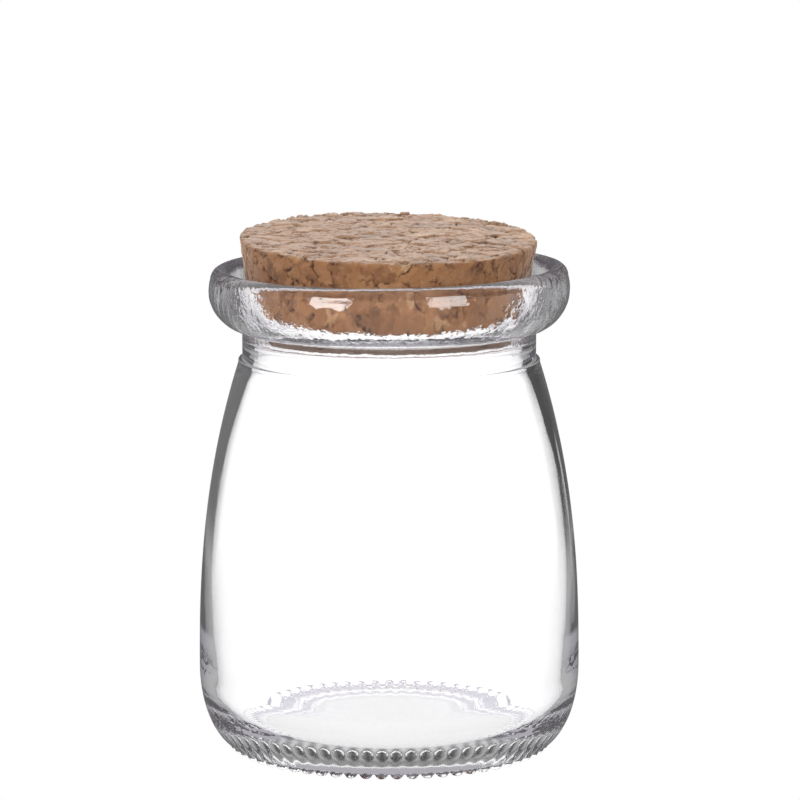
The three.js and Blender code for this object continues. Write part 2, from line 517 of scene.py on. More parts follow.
# %% Bowl of the lip
BOWL_REACH = 5
BOWL_DEPTH = 6.4
BOWL_SQUARENESS = 2.5
BOWL_SWEEP = math.radians(70)
SLOPE_STEPS = 60
THROAT_RADIUS = 21.2
THROAT_ROUND = 1.45


def bowl(count):
    """Part of a squarish quarter ellipse, upright at the mouth and nearly level at the shelf."""
    angle = BOWL_SWEEP * steps(count)
    power = 2 / BOWL_SQUARENESS
    radius = MOUTH_RADIUS - BOWL_REACH * (1 - np.cos(angle) ** power)
    return stretch(radius, MOUTH_Z - BOWL_DEPTH * np.sin(angle) ** power)


def throat_edge(count):
    """A quadratic curve that turns the slope of the shelf down into the throat."""
    before, start = bowl(SLOPE_STEPS)[-2:]
    slope = (start[1] - before[1]) / (start[0] - before[0])
    corner = np.array([THROAT_RADIUS, start[1] + (THROAT_RADIUS - start[0]) * slope])
    foot = corner - [0, THROAT_ROUND]
    t = steps(count)[:, None]
    return (1 - t) ** 2 * start + 2 * t * (1 - t) * corner + t**2 * foot


print("the bowl is", round(MOUTH_Z - bowl(2)[-1, 1], 2), "mm deep")

# %% Throat and inside wall
FLOOR_Z = 2.7
FLOOR_CORNER = 9
FLOOR_CORNER_TOP_Z = FLOOR_Z + FLOOR_CORNER
THIN_WALL = 1.45
THIN_WALL_Z = 36
FOOT_WALL = 2.45
HEAD_WALL = 2.6
HEAD_WALL_Z = 62
THROAT_FOOT_Z = 65.2


def wall_thickness(z):
    """The glass thickens with the square of the height above or below its thinnest ring."""
    above = np.clip((z - THIN_WALL_Z) / (HEAD_WALL_Z - THIN_WALL_Z), 0, 1)
    below = np.clip((THIN_WALL_Z - z) / (THIN_WALL_Z - FLOOR_CORNER_TOP_Z), 0, 1)
    return THIN_WALL + (HEAD_WALL - THIN_WALL) * above**2 + (FOOT_WALL - THIN_WALL) * below**2


def throat(count):
    """Straight down, then out to the head of the inside wall along a smooth step."""
    top = throat_edge(2)[-1, 1]
    z = top + (HEAD_WALL_Z - top) * steps(count)
    out = 1 - fade(z, HEAD_WALL_Z, THROAT_FOOT_Z)
    head = wall_radius(HEAD_WALL_Z) - HEAD_WALL
    return stretch(THROAT_RADIUS + (head - THROAT_RADIUS) * out, z)


def inside_wall(count):
    """Down from the throat to the floor's corner, the wall's thickness inside the outer wall."""
    z = HEAD_WALL_Z + (FLOOR_CORNER_TOP_Z - HEAD_WALL_Z) * steps(count)
    return stretch(wall_radius(z) - wall_thickness(z), z)


print("the wall is", float(wall_thickness(THIN_WALL_Z)), "mm thick at its thinnest ring")


# %% Floor of the inside
def floor_corner(count):
    """A quarter circle from the inside wall down to the floor."""
    angle = np.pi / 2 * steps(count)
    centre = BELLY_RADIUS - FOOT_WALL - FLOOR_CORNER
    return stretch(centre + FLOOR_CORNER * np.cos(angle), FLOOR_Z + FLOOR_CORNER * (1 - np.sin(angle)))


def floor(count):
    """Level, from the corner in to the axis."""
    start = floor_corner(2)[-1, 0]
    return stretch(start * (1 - steps(count)), FLOOR_Z)


print("the bottom is", round(FLOOR_Z - PUSH_UP_Z, 2), "mm thick in the middle")

# %% The whole outline
SAME_POINT = 1e-4


def jar_outline():
    """All stretches in a row, less the points that repeat the end of the stretch before."""
    parts = [
        underside(9),
        standing_ring(16),
        heel(18),
        wall(28),
        neck_step(4),
        lip_outside(20),
        lip_side(14),
        rim(26),
        bowl(14),
        throat_edge(6),
        throat(8),
        inside_wall(25),
        floor_corner(14),
        floor(5),
    ]
    points = np.concatenate(parts)
    gap = np.linalg.norm(np.diff(points, axis=0), axis=1)
    return points[np.concatenate([[True], gap > SAME_POINT])]


outline = jar_outline()
print("the jar's outline has", len(outline), "points")

# %% [markdown]
# ## The jar's surface
#
# The outline runs round the axis, seven steps to a bead. Beads are domes, longer along the jar's
# radius than across it, that push the level ring down. An Array modifier could repeat one bead as a
# separate mesh, but moulded beads are one skin with the jar, and glass shows every seam.

# %% Beads of the standing ring
BEADS = 64
STEPS_PER_BEAD = 7
BEAD_RADIUS = 1.08
BEAD_STRETCH = 1.55
BEAD_CIRCLE_RADIUS = 24.85
BEAD_FULLNESS = 3.2
BEAD_ROUND = 0.6


def bead_drop(radius, angle):
    """How far a bead reaches down: a dome over the distance from the nearest bead's middle."""
    pitch = 2 * np.pi / BEADS
    across = ((angle / pitch) % 1 - 0.5) * pitch * BEAD_CIRCLE_RADIUS / BEAD_RADIUS
    along = (radius - BEAD_CIRCLE_RADIUS) / (BEAD_RADIUS * BEAD_STRETCH)
    share = np.clip(1 - (across**2 + along**2) ** (BEAD_FULLNESS / 2), 0, 1)
    return RING_Z * share**BEAD_ROUND


print("the beads are", round(2 * np.pi * BEAD_CIRCLE_RADIUS / BEADS, 2), "mm apart")

# %% [markdown]
# Then come the faults of real moulded glass. The surface waves, most round the lip and the heel, a
# thin ridge runs round the lip under the rim, where two parts of the mould met, and the lip stands
# a little higher on one side. The waves fade out on the ring, so that the beads stay even, and near
# the axis, where many points lie close together.

# %% Waves and ridge of the moulded glass
BODY_WAVE = 0.003
LIP_WAVE = 0.014
LIP_WAVE_FROM = (66, 70)
HEEL_WAVE = 0.006
HEEL_WAVE_TO = (3, 12)
CALM_MIDDLE = (2, 8)
CALM_ABOVE_RING = 1.5
OUTER_WAVES = ((5.0, 1.0, 11), (2.2, 0.5, 12))
INNER_WAVES = ((6.0, 1.0, 21), (2.6, 0.5, 22))
LIP_RIPPLES = (1.4, 0.4, 13)
SEAM_HEIGHT = 0.06
SEAM_WIDTH = 0.2


def layered(points, layers):
    """Sum of waves, each layer with its wavelength, its share and its seed."""
    return sum(share * waves(points, wavelength, seed) for wavelength, share, seed in layers)


def wave_size(radius, z):
    """A little on the whole body, more on the lip and the heel, none on the ring or at the axis."""
    size = BODY_WAVE + LIP_WAVE * fade(z, *LIP_WAVE_FROM) + HEEL_WAVE * (1 - fade(z, *HEEL_WAVE_TO))
    return size * fade(radius, *CALM_MIDDLE) * fade(z, RING_Z, RING_Z + CALM_ABOVE_RING)


def glass_push(points, radius, z, is_inside):
    """How far each point moves along the outline's normal: size times waves, plus the ridge's bell."""
    wavelength, share, seed = LIP_RIPPLES
    ripples = share * fade(z, *LIP_WAVE_FROM) * waves(points, wavelength, seed)
    outer = layered(points, OUTER_WAVES) + ripples
    uneven = wave_size(radius, z) * np.where(is_inside, layered(points, INNER_WAVES), outer)
    ridge = SEAM_HEIGHT * np.exp(-(((z - LIP_SIDE_TOP_Z) / SEAM_WIDTH) ** 2)) * ~is_inside
    return uneven + ridge


print("the lip's waves are", LIP_WAVE, "mm high and its ridge", SEAM_HEIGHT, "mm")

# %% The outline turned into a jar
LIP_SLANT = 0.012
LIP_SLANT_START_Z = 68
ON_RING = 1e-6


def outline_normals():
    """The outline's direction at each point, turned by a right angle to point out of the glass."""
    slope = np.gradient(outline, axis=0)[1:-1]
    slope /= np.linalg.norm(slope, axis=1, keepdims=True)
    return np.stack([slope[:, 1], -slope[:, 0]], -1)


def jar_points(around):
    """The outline turned about Z, pushed along its normal, with beads below and a slanted lip."""
    angle = 2 * np.pi * np.arange(around) / around
    circle = np.stack([np.cos(angle), np.sin(angle)], -1)[None]
    radius, z = (column[:, None] for column in outline[1:-1].T)
    heights = np.broadcast_to(z[..., None], (len(z), around, 1))
    points = np.concatenate([radius[..., None] * circle, heights], -1)
    is_inside = (np.arange(len(z)) > np.argmax(z))[:, None]
    push = glass_push(points, radius, z, is_inside)
    out = outline_normals()
    points[..., :2] += (push * out[:, 0][:, None])[..., None] * circle
    points[..., 2] += push * out[:, 1][:, None]
    on_ring = (z <= RING_Z + ON_RING) & ~is_inside
    points[..., 2] -= np.where(on_ring, bead_drop(radius, angle[None, :]), 0)
    points[..., 2] += LIP_SLANT * points[..., 0] * fade(points[..., 2], LIP_SLANT_START_Z, RIM_Z)
    return points


# %% Make the jar
def make_jar(material):
    """The turned grid, closed by a fan of triangles at each end of the outline."""
    around = BEADS * STEPS_PER_BEAD
    grid = jar_points(around)
    rings = len(grid)
    poles = np.array([[0, 0, outline[0, 1]], [0, 0, outline[-1, 1]]])
    points = np.concatenate([grid.reshape(-1, 3), poles])
    under = rings * around
    first = fan_faces(under, np.arange(around), inwards=True)
    last = fan_faces(under + 1, np.arange(around) + (rings - 1) * around, inwards=False)
    fans = np.concatenate([first, last])
    return mesh_object("glass_jar", points, ring_faces(rings, around), fans, material)


jar = make_jar(glass_material())
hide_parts("jar")
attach(jar, "root")

# %% [markdown]
# ## Cork
#
# The cork is agglomerated: granules of bark, 2 to 4 mm across, pressed together and cut. A knife
# leaves each granule a little higher or lower and tilted its own way, opens dark crevices between
# some of them and chips the edge. A bump map could fake that, but the crevices and the ragged edge
# show in the outline, so they are in the mesh.
#
# Cells around scattered seeds give the granules: every point of the surface belongs to its nearest
# seed, and a crack runs where two seeds are equally near.

# %% Cells around scattered seeds
TRAITS = 4


def cells(points, spacing, seed):
    """Nearest seed of a jittered grid: its random numbers, the offset to it and the edge distance."""
    draw = np.random.default_rng(seed)
    low = np.floor(points.min(0) / spacing).astype(int) - 1
    shape = np.floor(points.max(0) / spacing).astype(int) + 2 - low
    jitter = draw.random((*shape, 3))
    traits = draw.random((*shape, TRAITS))
    home = np.floor(points / spacing).astype(int) - low
    best = np.full(len(points), np.inf)
    second = np.full(len(points), np.inf)
    offset = np.zeros_like(points)
    trait = np.zeros((len(points), TRAITS))
    for step in np.ndindex(3, 3, 3):
        at = home + np.array(step) - 1
        at = np.clip(at, 0, shape - 1)
        place = (at + low + jitter[at[:, 0], at[:, 1], at[:, 2]]) * spacing
        away = points - place
        distance = np.linalg.norm(away, axis=1)
        nearer = distance < best
        second = np.where(nearer, best, np.minimum(second, distance))
        best = np.where(nearer, distance, best)
        offset = np.where(nearer[:, None], away, offset)
        trait = np.where(nearer[:, None], traits[at[:, 0], at[:, 1], at[:, 2]], trait)
    return trait, offset, second - best


# %% [markdown]
# ## The cork's surface
#
# A polar grid would crowd its points at the middle of the top. A square grid bent onto a disc
# keeps them evenly spread, and its edge becomes the first ring of the side. The underside, which
# hardly shows, is plain rings.


# %% A square grid bent onto a disc
def disc_grid(count):
    """Each square ring of the grid becomes a circle of the same reach, corners at 45 degrees."""
    line = np.linspace(-1, 1, count)
    u, v = np.meshgrid(line, line)
    wide = np.abs(u) >= np.abs(v)
    reach = np.maximum(np.abs(u), np.abs(v))
    longer = np.where(wide, u, v)
    turn = np.pi / 4 * np.where(wide, v, u) / np.where(longer == 0, 1, longer)
    angle = np.where(wide, turn, np.pi / 2 - turn) + np.where(longer < 0, np.pi, 0)
    return np.stack([reach * np.cos(angle), reach * np.sin(angle)], -1)


def border(grid):
    """Indices round the edge of a square grid, counterclockwise from its first corner."""
    return np.concatenate([grid[0, :-1], grid[:-1, -1], grid[-1, :0:-1], grid[:0:-1, 0]])


# %% Sizes of the cork, in mm
CORK_TOP_RADIUS = 24
CORK_BOTTOM_RADIUS = 22.15
CORK_HEIGHT = 11.2
CORK_TOP_Z = 9.7
CORK_BOTTOM_Z = CORK_TOP_Z - CORK_HEIGHT
CORK_EDGE = 0.3
TOP_GRID = 190
SIDE_ROWS = 44
BOTTOM_ROWS = 14
print("the cork tapers by", round(CORK_TOP_RADIUS - CORK_BOTTOM_RADIUS, 2), "mm on each side")


# %% Points of the plain cork
def level_rings(circle, radius, z):
    """Copies of a circle of directions, each at its own radius and height."""
    rings = radius[:, None, None] * circle[None]
    return np.concatenate([rings, np.broadcast_to(z[:, None, None], (*rings.shape[:2], 1))], -1)


def cork_points(top, circle):
    """The top's points, rings down the tapered side, rings in across the underside, and its middle."""
    down = np.linspace(0, 1, SIDE_ROWS)
    side = level_rings(
        circle,
        CORK_TOP_RADIUS + (CORK_BOTTOM_RADIUS - CORK_TOP_RADIUS) * down,
        CORK_TOP_Z - CORK_EDGE - (CORK_HEIGHT - 2 * CORK_EDGE) * down,
    )
    shares = np.linspace(1, 0, BOTTOM_ROWS + 1)[:-1]
    bottom_radius = (CORK_BOTTOM_RADIUS - CORK_EDGE) * shares
    bottom = level_rings(circle, bottom_radius, np.full(BOTTOM_ROWS, CORK_BOTTOM_Z))
    return np.concatenate([top, side.reshape(-1, 3), bottom.reshape(-1, 3), [[0, 0, CORK_BOTTOM_Z]]])


def cork_outwards(count, top_count, circle):
    """Up on the top, away from the axis on the side, down on the underside."""
    outwards = np.zeros((count, 3))
    side_circle = np.tile(circle, (SIDE_ROWS, 1))
    side_end = top_count + len(side_circle)
    outwards[:top_count, 2] = 1
    outwards[top_count:side_end, :2] = side_circle
    outwards[side_end:, 2] = -1
    return outwards


# %% Faces of the plain cork
def cork_faces(grid, edge):
    """Quads of the square top, of the joint round it and of all rings, and the fan that ends them."""
    around = len(edge)
    rows = SIDE_ROWS + BOTTOM_ROWS
    top_faces = np.stack([grid[:-1, :-1], grid[:-1, 1:], grid[1:, 1:], grid[1:, :-1]], -1)
    start = grid.size + np.arange(around)
    joint = np.stack([edge, start, np.roll(start, -1), np.roll(edge, -1)], -1)
    turned = ring_faces(rows, around, grid.size)[:, ::-1]
    last = grid.size + (rows - 1) * around + np.arange(around)
    cap = fan_faces(last[-1] + 1, last, inwards=True)
    return np.concatenate([top_faces.reshape(-1, 4), joint, turned]), cap


def plain_cork():
    """Points, outward directions and faces of the tapered slice, before any relief."""
    grid = np.arange(TOP_GRID**2).reshape(TOP_GRID, TOP_GRID)
    edge = border(grid)
    flat = disc_grid(TOP_GRID).reshape(-1, 2) * (CORK_TOP_RADIUS - CORK_EDGE)
    circle = flat[edge] / np.linalg.norm(flat[edge], axis=1, keepdims=True)
    points = cork_points(np.column_stack([flat, np.full(len(flat), CORK_TOP_Z)]), circle)
    return points, cork_outwards(len(points), len(flat), circle), *cork_faces(grid, edge)


# %% [markdown]
# ## Relief of the cork
#
# Large granules hold small ones. The points are bent a little before they look for their seed, so
# that the granules get crooked, frayed borders. Cracks open only where a slow wave is high, because
# most granules stay tightly pressed. On the top the knife runs flat through the bark and lifts it
# in flakes, so the steps there are higher than on the side.

# %% Granules
GRANULE = 3.1
SMALL_GRANULE = 1.5
SMALL_SHIFT = 7
BEND_LENGTH = 3.0
BEND_REACH = 0.45
FRAY_LENGTH = 0.9
FRAY_REACH = 0.12
GRANULE_STEP = 0.12
FLAKE_STEP = 0.36
GRANULE_TILT = 0.10
SMALL_STEP_SHARE = 0.5
SMALL_TILT_SHARE = 0.6


def granule_height(trait, offset, small_trait, small_offset, top_share):
    """Each granule's own step, higher on the top, and its own tilt along the offset to its seed."""
    uneven = GRANULE_STEP + (FLAKE_STEP - GRANULE_STEP) * top_share
    step = uneven * (trait[:, 0] - 0.5 + SMALL_STEP_SHARE * (small_trait[:, 0] - 0.5))
    tilt = GRANULE_TILT * np.sum(offset * (trait[:, 1:] - 0.5), axis=1)
    small_tilt = SMALL_TILT_SHARE * GRANULE_TILT
    tilt += small_tilt * np.sum(small_offset * (small_trait[:, 1:] - 0.5), axis=1)
    return step + tilt


# %% Cracks and pits
CRACK_EDGES = (0.04, 0.24)
CRACK_DEPTH = 0.4
CRACKED_LENGTH = 3.5
CRACKED = (0.15, 0.8)
SMALL_CRACK_EDGES = (0.03, 0.20)
SMALL_CRACK_DEPTH = 0.18
SMALL_CRACKED_LENGTH = 3.0
SMALL_CRACKED = (0.3, 0.95)
PIT_SPACING = 1.9
PIT_SHARE = 0.05
PIT_EDGES = (0.15, 0.5)
PIT_BEND_REACH = 0.3
PIT_DEPTH = 0.45


def pits(points):
    """Round hollows about a few of the seeds of a grid of their own."""
    trait, offset, _ = cells(points, PIT_SPACING, 53)
    return (1 - fade(np.linalg.norm(offset, axis=1), *PIT_EDGES)) * (trait[:, 0] < PIT_SHARE)


# %% The whole relief
GRAIN = 0.03
GRAIN_LENGTH = 0.7
SMALL_CRACK_SHADE = 0.8


def cork_relief(points, outwards):
    """Height along the outward direction, and what the finish needs to know about each point."""
    bend = wander(points, BEND_LENGTH, 31)
    bent = points + BEND_REACH * bend + FRAY_REACH * wander(points, FRAY_LENGTH, 41)
    trait, offset, gap = cells(bent, GRANULE, 51)
    small_trait, small_offset, small_gap = cells(bent + SMALL_SHIFT, SMALL_GRANULE, 52)
    crack = (1 - fade(gap, *CRACK_EDGES)) * fade(waves(points, CRACKED_LENGTH, 61), *CRACKED)
    small_opened = fade(waves(points, SMALL_CRACKED_LENGTH, 62), *SMALL_CRACKED)
    small_crack = (1 - fade(small_gap, *SMALL_CRACK_EDGES)) * small_opened
    pit = pits(points + PIT_BEND_REACH * bend)
    height = granule_height(trait, offset, small_trait, small_offset, np.maximum(outwards[:, 2], 0))
    height = height - CRACK_DEPTH * crack - SMALL_CRACK_DEPTH * small_crack - PIT_DEPTH * pit
    height += GRAIN * waves(points, GRAIN_LENGTH, 63)
    crevice = np.maximum(crack, np.maximum(SMALL_CRACK_SHADE * small_crack, pit))
    return height, trait[:, 1], small_trait[:, 2], crevice


# %% Chips along the top edge
CHIP_DEPTH = 0.6
CHIP_INWARDS = 0.7
CHIP_DOWN = 0.45
CHIP_REACH = (CORK_TOP_RADIUS - 1.6, CORK_TOP_RADIUS - 0.4)
CHIP_FROM_Z = 6.5
CHIP_LENGTH = 2.4
CHIPPED = (0.8, 1.5)
ROUGH_LENGTH = 1.1
ROUGH = (-0.2, 1.2)
ROUGH_SHARE = 0.22


def chipped(points):
    """Points by the top edge move in and down where a slow wave is high, and a little elsewhere."""
    level = points * [1, 1, 0]
    reach = np.hypot(points[:, 0], points[:, 1])
    near = fade(reach, *CHIP_REACH) * fade(points[:, 2], CHIP_FROM_Z, CORK_TOP_Z)
    chip = fade(waves(level, CHIP_LENGTH, 71), *CHIPPED)
    rough = ROUGH_SHARE * fade(waves(level, ROUGH_LENGTH, 72), *ROUGH)
    loss = CHIP_DEPTH * near * (chip + rough)
    inwards = level / np.maximum(reach, 1)[:, None]
    return points - loss[:, None] * (CHIP_INWARDS * inwards + [0, 0, CHIP_DOWN])


# %% [markdown]
# ## Cork finish
#
# Every granule has a brown of its own, from pale tan to a deep brown, with a few nearly black scraps
# of bark. The crevices and pits between granules get a dark brown as painted shade. The relief
# already knows which granule a point is in, so those numbers are stored on the mesh and the material
# reads them. A Voronoi texture could draw granules too, but its borders would not run along these
# cracks. Fine mottling comes from noise on Object coordinates, and a little sheen gives the pale,
# dusty look along grazing edges. The cut top is paler as well: dust, and in part painted sheen.


# %% Colours as the screen shows them
def colour(code):
    """A hexadecimal screen colour as linear red, green and blue."""
    screen = [int(code[k : k + 2], 16) / 255 for k in (0, 2, 4)]
    return tuple(c / 12.92 if c <= 0.04045 else ((c + 0.055) / 1.055) ** 2.4 for c in screen)


CORK_SHADES = [
    (0.00, colour("342016")),
    (0.04, colour("6D4A32")),
    (0.30, colour("82593A")),
    (0.55, colour("8D6341")),
    (0.80, colour("966C49")),
    (0.97, colour("B18F6B")),
]
# The darkest brown: the cork's own dark specks, and painted shade in crevices and pits.
CORK_SPECK_AND_CREVICE_SHADE = (*colour("402215"), 1)
# Pale dust, which on the cut top stands in part for painted sheen.
CORK_DUST_AND_SHEEN = (*colour("A58971"), 1)

# %% Shares of the cork's colours
MOTTLE_PER_M = 900.0
MOTTLE_DETAIL = 4.0
SPECK_PER_M = 2600.0
SPECK_DETAIL = 2.0
GRANULE_SHARE = 0.72
SMALL_GRANULE_SHARE = 0.26
MOTTLE_SHARE = 0.30
# The cut top is paler: dust, and in part painted sheen.
CUT_DUST_AND_SHEEN = 0.35
MOTTLE_DUST = 0.25
DUSTY_MOTTLE = (0.52, 0.75)
# Painted shade: how far crevices and pits darken.
CREVICE_SHADE_SHARE = 0.95
SPECK_SHARE = 0.5
DARK_SPECKS = (0.62, 0.74)


def cork_colour(tree, mottle, speck):
    """A brown by granule and mottle, paler where dusty and on the cut top (dust, and in part painted
    sheen), darker in specks, and painted shade in crevices.
    """

    def stored(name):
        return tree.node("ShaderNodeAttribute", {"attribute_name": name}, output="Fac")

    shade = stored("granule") * GRANULE_SHARE + stored("small_granule") * SMALL_GRANULE_SHARE
    shade = shade + (mottle - 0.5) * MOTTLE_SHARE
    base = tree.node("ShaderNodeValToRGB", {"stops": CORK_SHADES}, {"Fac": shade})
    # Dust, and on the cut top in part painted sheen.
    dust_and_sheen = stored("cut") * CUT_DUST_AND_SHEEN + tree.ramp(mottle, *DUSTY_MOTTLE) * MOTTLE_DUST
    # Painted shade in crevices and pits.
    crevice_shaded = tree.mix(stored("crevice") * CREVICE_SHADE_SHARE, tree.mix(dust_and_sheen, base, CORK_DUST_AND_SHEEN), CORK_SPECK_AND_CREVICE_SHADE)
    # The cork's own dark specks of bark.
    return tree.mix(tree.ramp(speck, *DARK_SPECKS) * SPECK_SHARE, crevice_shaded, CORK_SPECK_AND_CREVICE_SHADE)


# %% Cork
PORE_DEPTH = 0.00012
PORE_STRENGTH = 0.8


def cork_material():
    """Matt and faintly dusty, with pores too fine for the mesh as a bump."""
    material, tree = new_material("cork")
    place = tree.node("ShaderNodeTexCoord", output="Object")
    mottle = tree.noise(place, MOTTLE_PER_M, MOTTLE_DETAIL)
    speck = tree.noise(place, SPECK_PER_M, SPECK_DETAIL)
    sockets = {
        "Base Color": cork_colour(tree, mottle, speck),
        "Roughness": 0.85,
        "Specular IOR Level": 0.25,
        "Sheen Weight": 0.35,
        "Sheen Roughness": 0.45,
        "Normal": tree.bump(mottle * 0.5 + speck * 0.5, PORE_DEPTH, PORE_STRENGTH),
    }
    body = tree.node("ShaderNodeBsdfPrincipled", None, sockets)
    tree.node("ShaderNodeOutputMaterial", None, {"Surface": body})
    return material


# %% [markdown]
# ## The cork's seat
#
# The cork was pushed in by hand and leans towards the front. Its lean and place are worked into the
# points, so that the object itself stays unturned at the origin.

# %% Make the cork
CORK_PIVOT = (-0.3, 0, 74)
CORK_LEAN_FRONT = math.radians(2.85)
CORK_LEAN_RIGHT = math.radians(0.85)


def make_cork(material):
    """The plain cork with its relief and chips, turned about X and then Y, and put in the mouth."""
    points, outwards, quads, cap = plain_cork()
    height, granule, small_granule, crevice = cork_relief(points, outwards)
    shaped = chipped(points + outwards * height[:, None])
    seat = np.array(Euler((CORK_LEAN_FRONT, 0, 0)).to_matrix())
    seat = np.array(Euler((0, CORK_LEAN_RIGHT, 0)).to_matrix()) @ seat
    made = mesh_object("cork_slice", shaped @ seat.T + CORK_PIVOT, quads, cap, material)
    cut = np.maximum(outwards[:, 2], 0)
    traits = {"granule": granule, "small_granule": small_granule, "crevice": crevice, "cut": cut}
    for name, value in traits.items():
        stored = made.data.attributes.new(name, "FLOAT", "POINT")
        stored.data.foreach_set("value", value.astype(np.float32))
    return made


cork = make_cork(cork_material())
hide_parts("cork")
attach(cork, "root")

# %% [markdown]
# ## Surroundings
#
# Glass is drawn by what stands round it. Photographers light it against a bright field with dark
# wings: rays that cross the hollow of the jar go nearly straight on and see the bright field, and
# rays that only run through the wall are thrown aside and see the dark. Real cards round the jar
# would suit one camera only. The number of glass surfaces that a ray has passed tells the two
# kinds apart from every side, so the world's brightness asks for that.
#
# For thrown rays there are dark wings with a faint gap between them, a bright field at their outer
# sides, a narrow strip low on the right, and a grey table below. Front and back are alike. The
# camera itself sees plain white.

# %% Brightness for each kind of ray
SEEN_WHITE = 1.0
FIELD_WHITE = 1.22
MIRRORED = 0.15
AMBIENT = 0.75


def seen_by(tree, through_glass):
    """Camera rays see white, rays that light the cork a pale room, and mirrored rays a dim one."""
    camera = tree.ray("Is Camera Ray")
    lit = tree.ray("Diffuse Depth") > 0.5
    bent = tree.ray("Transmission Depth") > 0.5
    other = bent * through_glass + (1 - bent) * MIRRORED
    unseen = lit * AMBIENT + (1 - lit) * other
    return camera * SEEN_WHITE + (1 - camera) * unseen


def band(tree, away, half_width, softness):
    """1 at distances under the half width and 0 beyond it, with a soft edge."""
    return 1 - tree.ramp(away, half_width - softness, half_width + softness)


# %% Wings, sides, gap and strip, by their angle in degrees
HALF_TURN = 180
WING_DARK = 0.11
WING_SLOPE = 0.06
SIDE_BRIGHT = 0.75
SIDE_SHIFT = 3.0
SIDE_AT = 57.0
SIDE_HALF_WIDTH = 12.0
GAP_BRIGHT = 0.28
GAP_AT = -3.0
GAP_HALF_WIDTH = 5.0
GAP_SOFTNESS = 3.0
STRIP_BRIGHT = 0.7
STRIP_AT = 22.0
STRIP_HALF_WIDTH = 2.2
STRIP_SOFTNESS = 1.2
STRIP_HEIGHTS = (-0.02, 0.03)


def off_middle(tree, direction):
    """Degrees left or right of the nearer of front and back, from -90 to 90."""
    angle = tree.turn(tree.axis(direction, 0), tree.axis(direction, 1)) * (HALF_TURN / math.pi)
    return ((angle * (1 / HALF_TURN) + 2.5).maths("FRACT") - 0.5) * HALF_TURN


def level_brightness(tree, off, z):
    """A sine of the angle gives the wings, and soft bands add the sides, the gap and the strip."""
    wing = WING_DARK - (off * (4 * math.pi / HALF_TURN)).maths("SINE") * WING_SLOPE
    off_side = ((off - SIDE_SHIFT).maths("ABSOLUTE") - SIDE_AT).maths("ABSOLUTE")
    side = band(tree, off_side, SIDE_HALF_WIDTH, GAP_SOFTNESS)
    gap = band(tree, (off - GAP_AT).maths("ABSOLUTE"), GAP_HALF_WIDTH, GAP_SOFTNESS)
    strip = band(tree, (off - STRIP_AT).maths("ABSOLUTE"), STRIP_HALF_WIDTH, STRIP_SOFTNESS)
    low = 1 - tree.ramp(z, *STRIP_HEIGHTS)
    return wing + side * SIDE_BRIGHT + gap * GAP_BRIGHT + strip * low * STRIP_BRIGHT


# %% Table, for rays that are thrown down
TABLE_GREY = 0.50
TABLE_SIDES = 0.22
TABLE_TURN = (38, 50)
DOWNWARD = (-0.25, -0.08)


def thrown_brightness(tree, direction):
    """The level brightness, and below it a table that is darker at its sides."""
    off = off_middle(tree, direction)
    z = tree.axis(direction, 2)
    level = level_brightness(tree, off, z)
    aside = tree.ramp((off - SIDE_SHIFT).maths("ABSOLUTE"), *TABLE_TURN)
    table = TABLE_GREY + aside * (TABLE_SIDES - TABLE_GREY)
    return level + (1 - tree.ramp(z, *DOWNWARD)) * (table - level)


# %% World
def make_world():
    """Rays that have crossed the hollow see the bright field, and thrown rays the wings and table."""
    world = bpy.data.worlds.new("studio")
    bpy.context.scene.world = world
    tree = Tree(world)
    direction = tree.node("ShaderNodeTexCoord", output="Generated")
    crossed = has_crossed(tree)
    glass = crossed * FIELD_WHITE + (1 - crossed) * thrown_brightness(tree, direction)
    sockets = {"Color": (1, 1, 1, 1), "Strength": seen_by(tree, glass)}
    sky = tree.node("ShaderNodeBackground", None, sockets)
    tree.node("ShaderNodeOutputWorld", None, {"Surface": sky})
    world.cycles.sampling_method = "NONE"


make_world()

# %% [markdown]
# ## Ground
#
# The jar stands on white ground. What its foot shows is the ground right under it, where little
# light gets in: dark within the standing ring, lighter outside it, and darkest where a bead stands.
# Bent rays that land outside the foot pass through the ground, so that the world shades them.

# %% Shade of the ground, at distances in metres
GROUND_SHADOW = 0.26
GROUND_EDGE = 0.65
SHADOW_END = (0.0255, 0.0275)
CONTACT = 0.18
BEADS_START = (0.021, 0.023)
BEADS_END = (0.0265, 0.0285)
GROUND_PALE = 0.88
PALE_END = (0.021, 0.026)


def ground_brightness(tree, place, reach):
    """By distance, with a cosine that dips at every bead, and pale for rays through the hollow."""
    shadow = GROUND_SHADOW + tree.ramp(reach, *SHADOW_END) * (GROUND_EDGE - GROUND_SHADOW)
    angle = tree.turn(tree.axis(place, 1), tree.axis(place, 0))
    on_beads = tree.ramp(reach, *BEADS_START) * (1 - tree.ramp(reach, *BEADS_END))
    between = (angle * BEADS).maths("COSINE") * on_beads
    pale = GROUND_PALE + tree.ramp(reach, *PALE_END) * (FIELD_WHITE - GROUND_PALE)
    crossed = has_crossed(tree)
    return crossed * pale + (1 - crossed) * (shadow + between * CONTACT)


# %% Floor
FLOOR_REACH = 2.0
UNDER_JAR = 0.0315


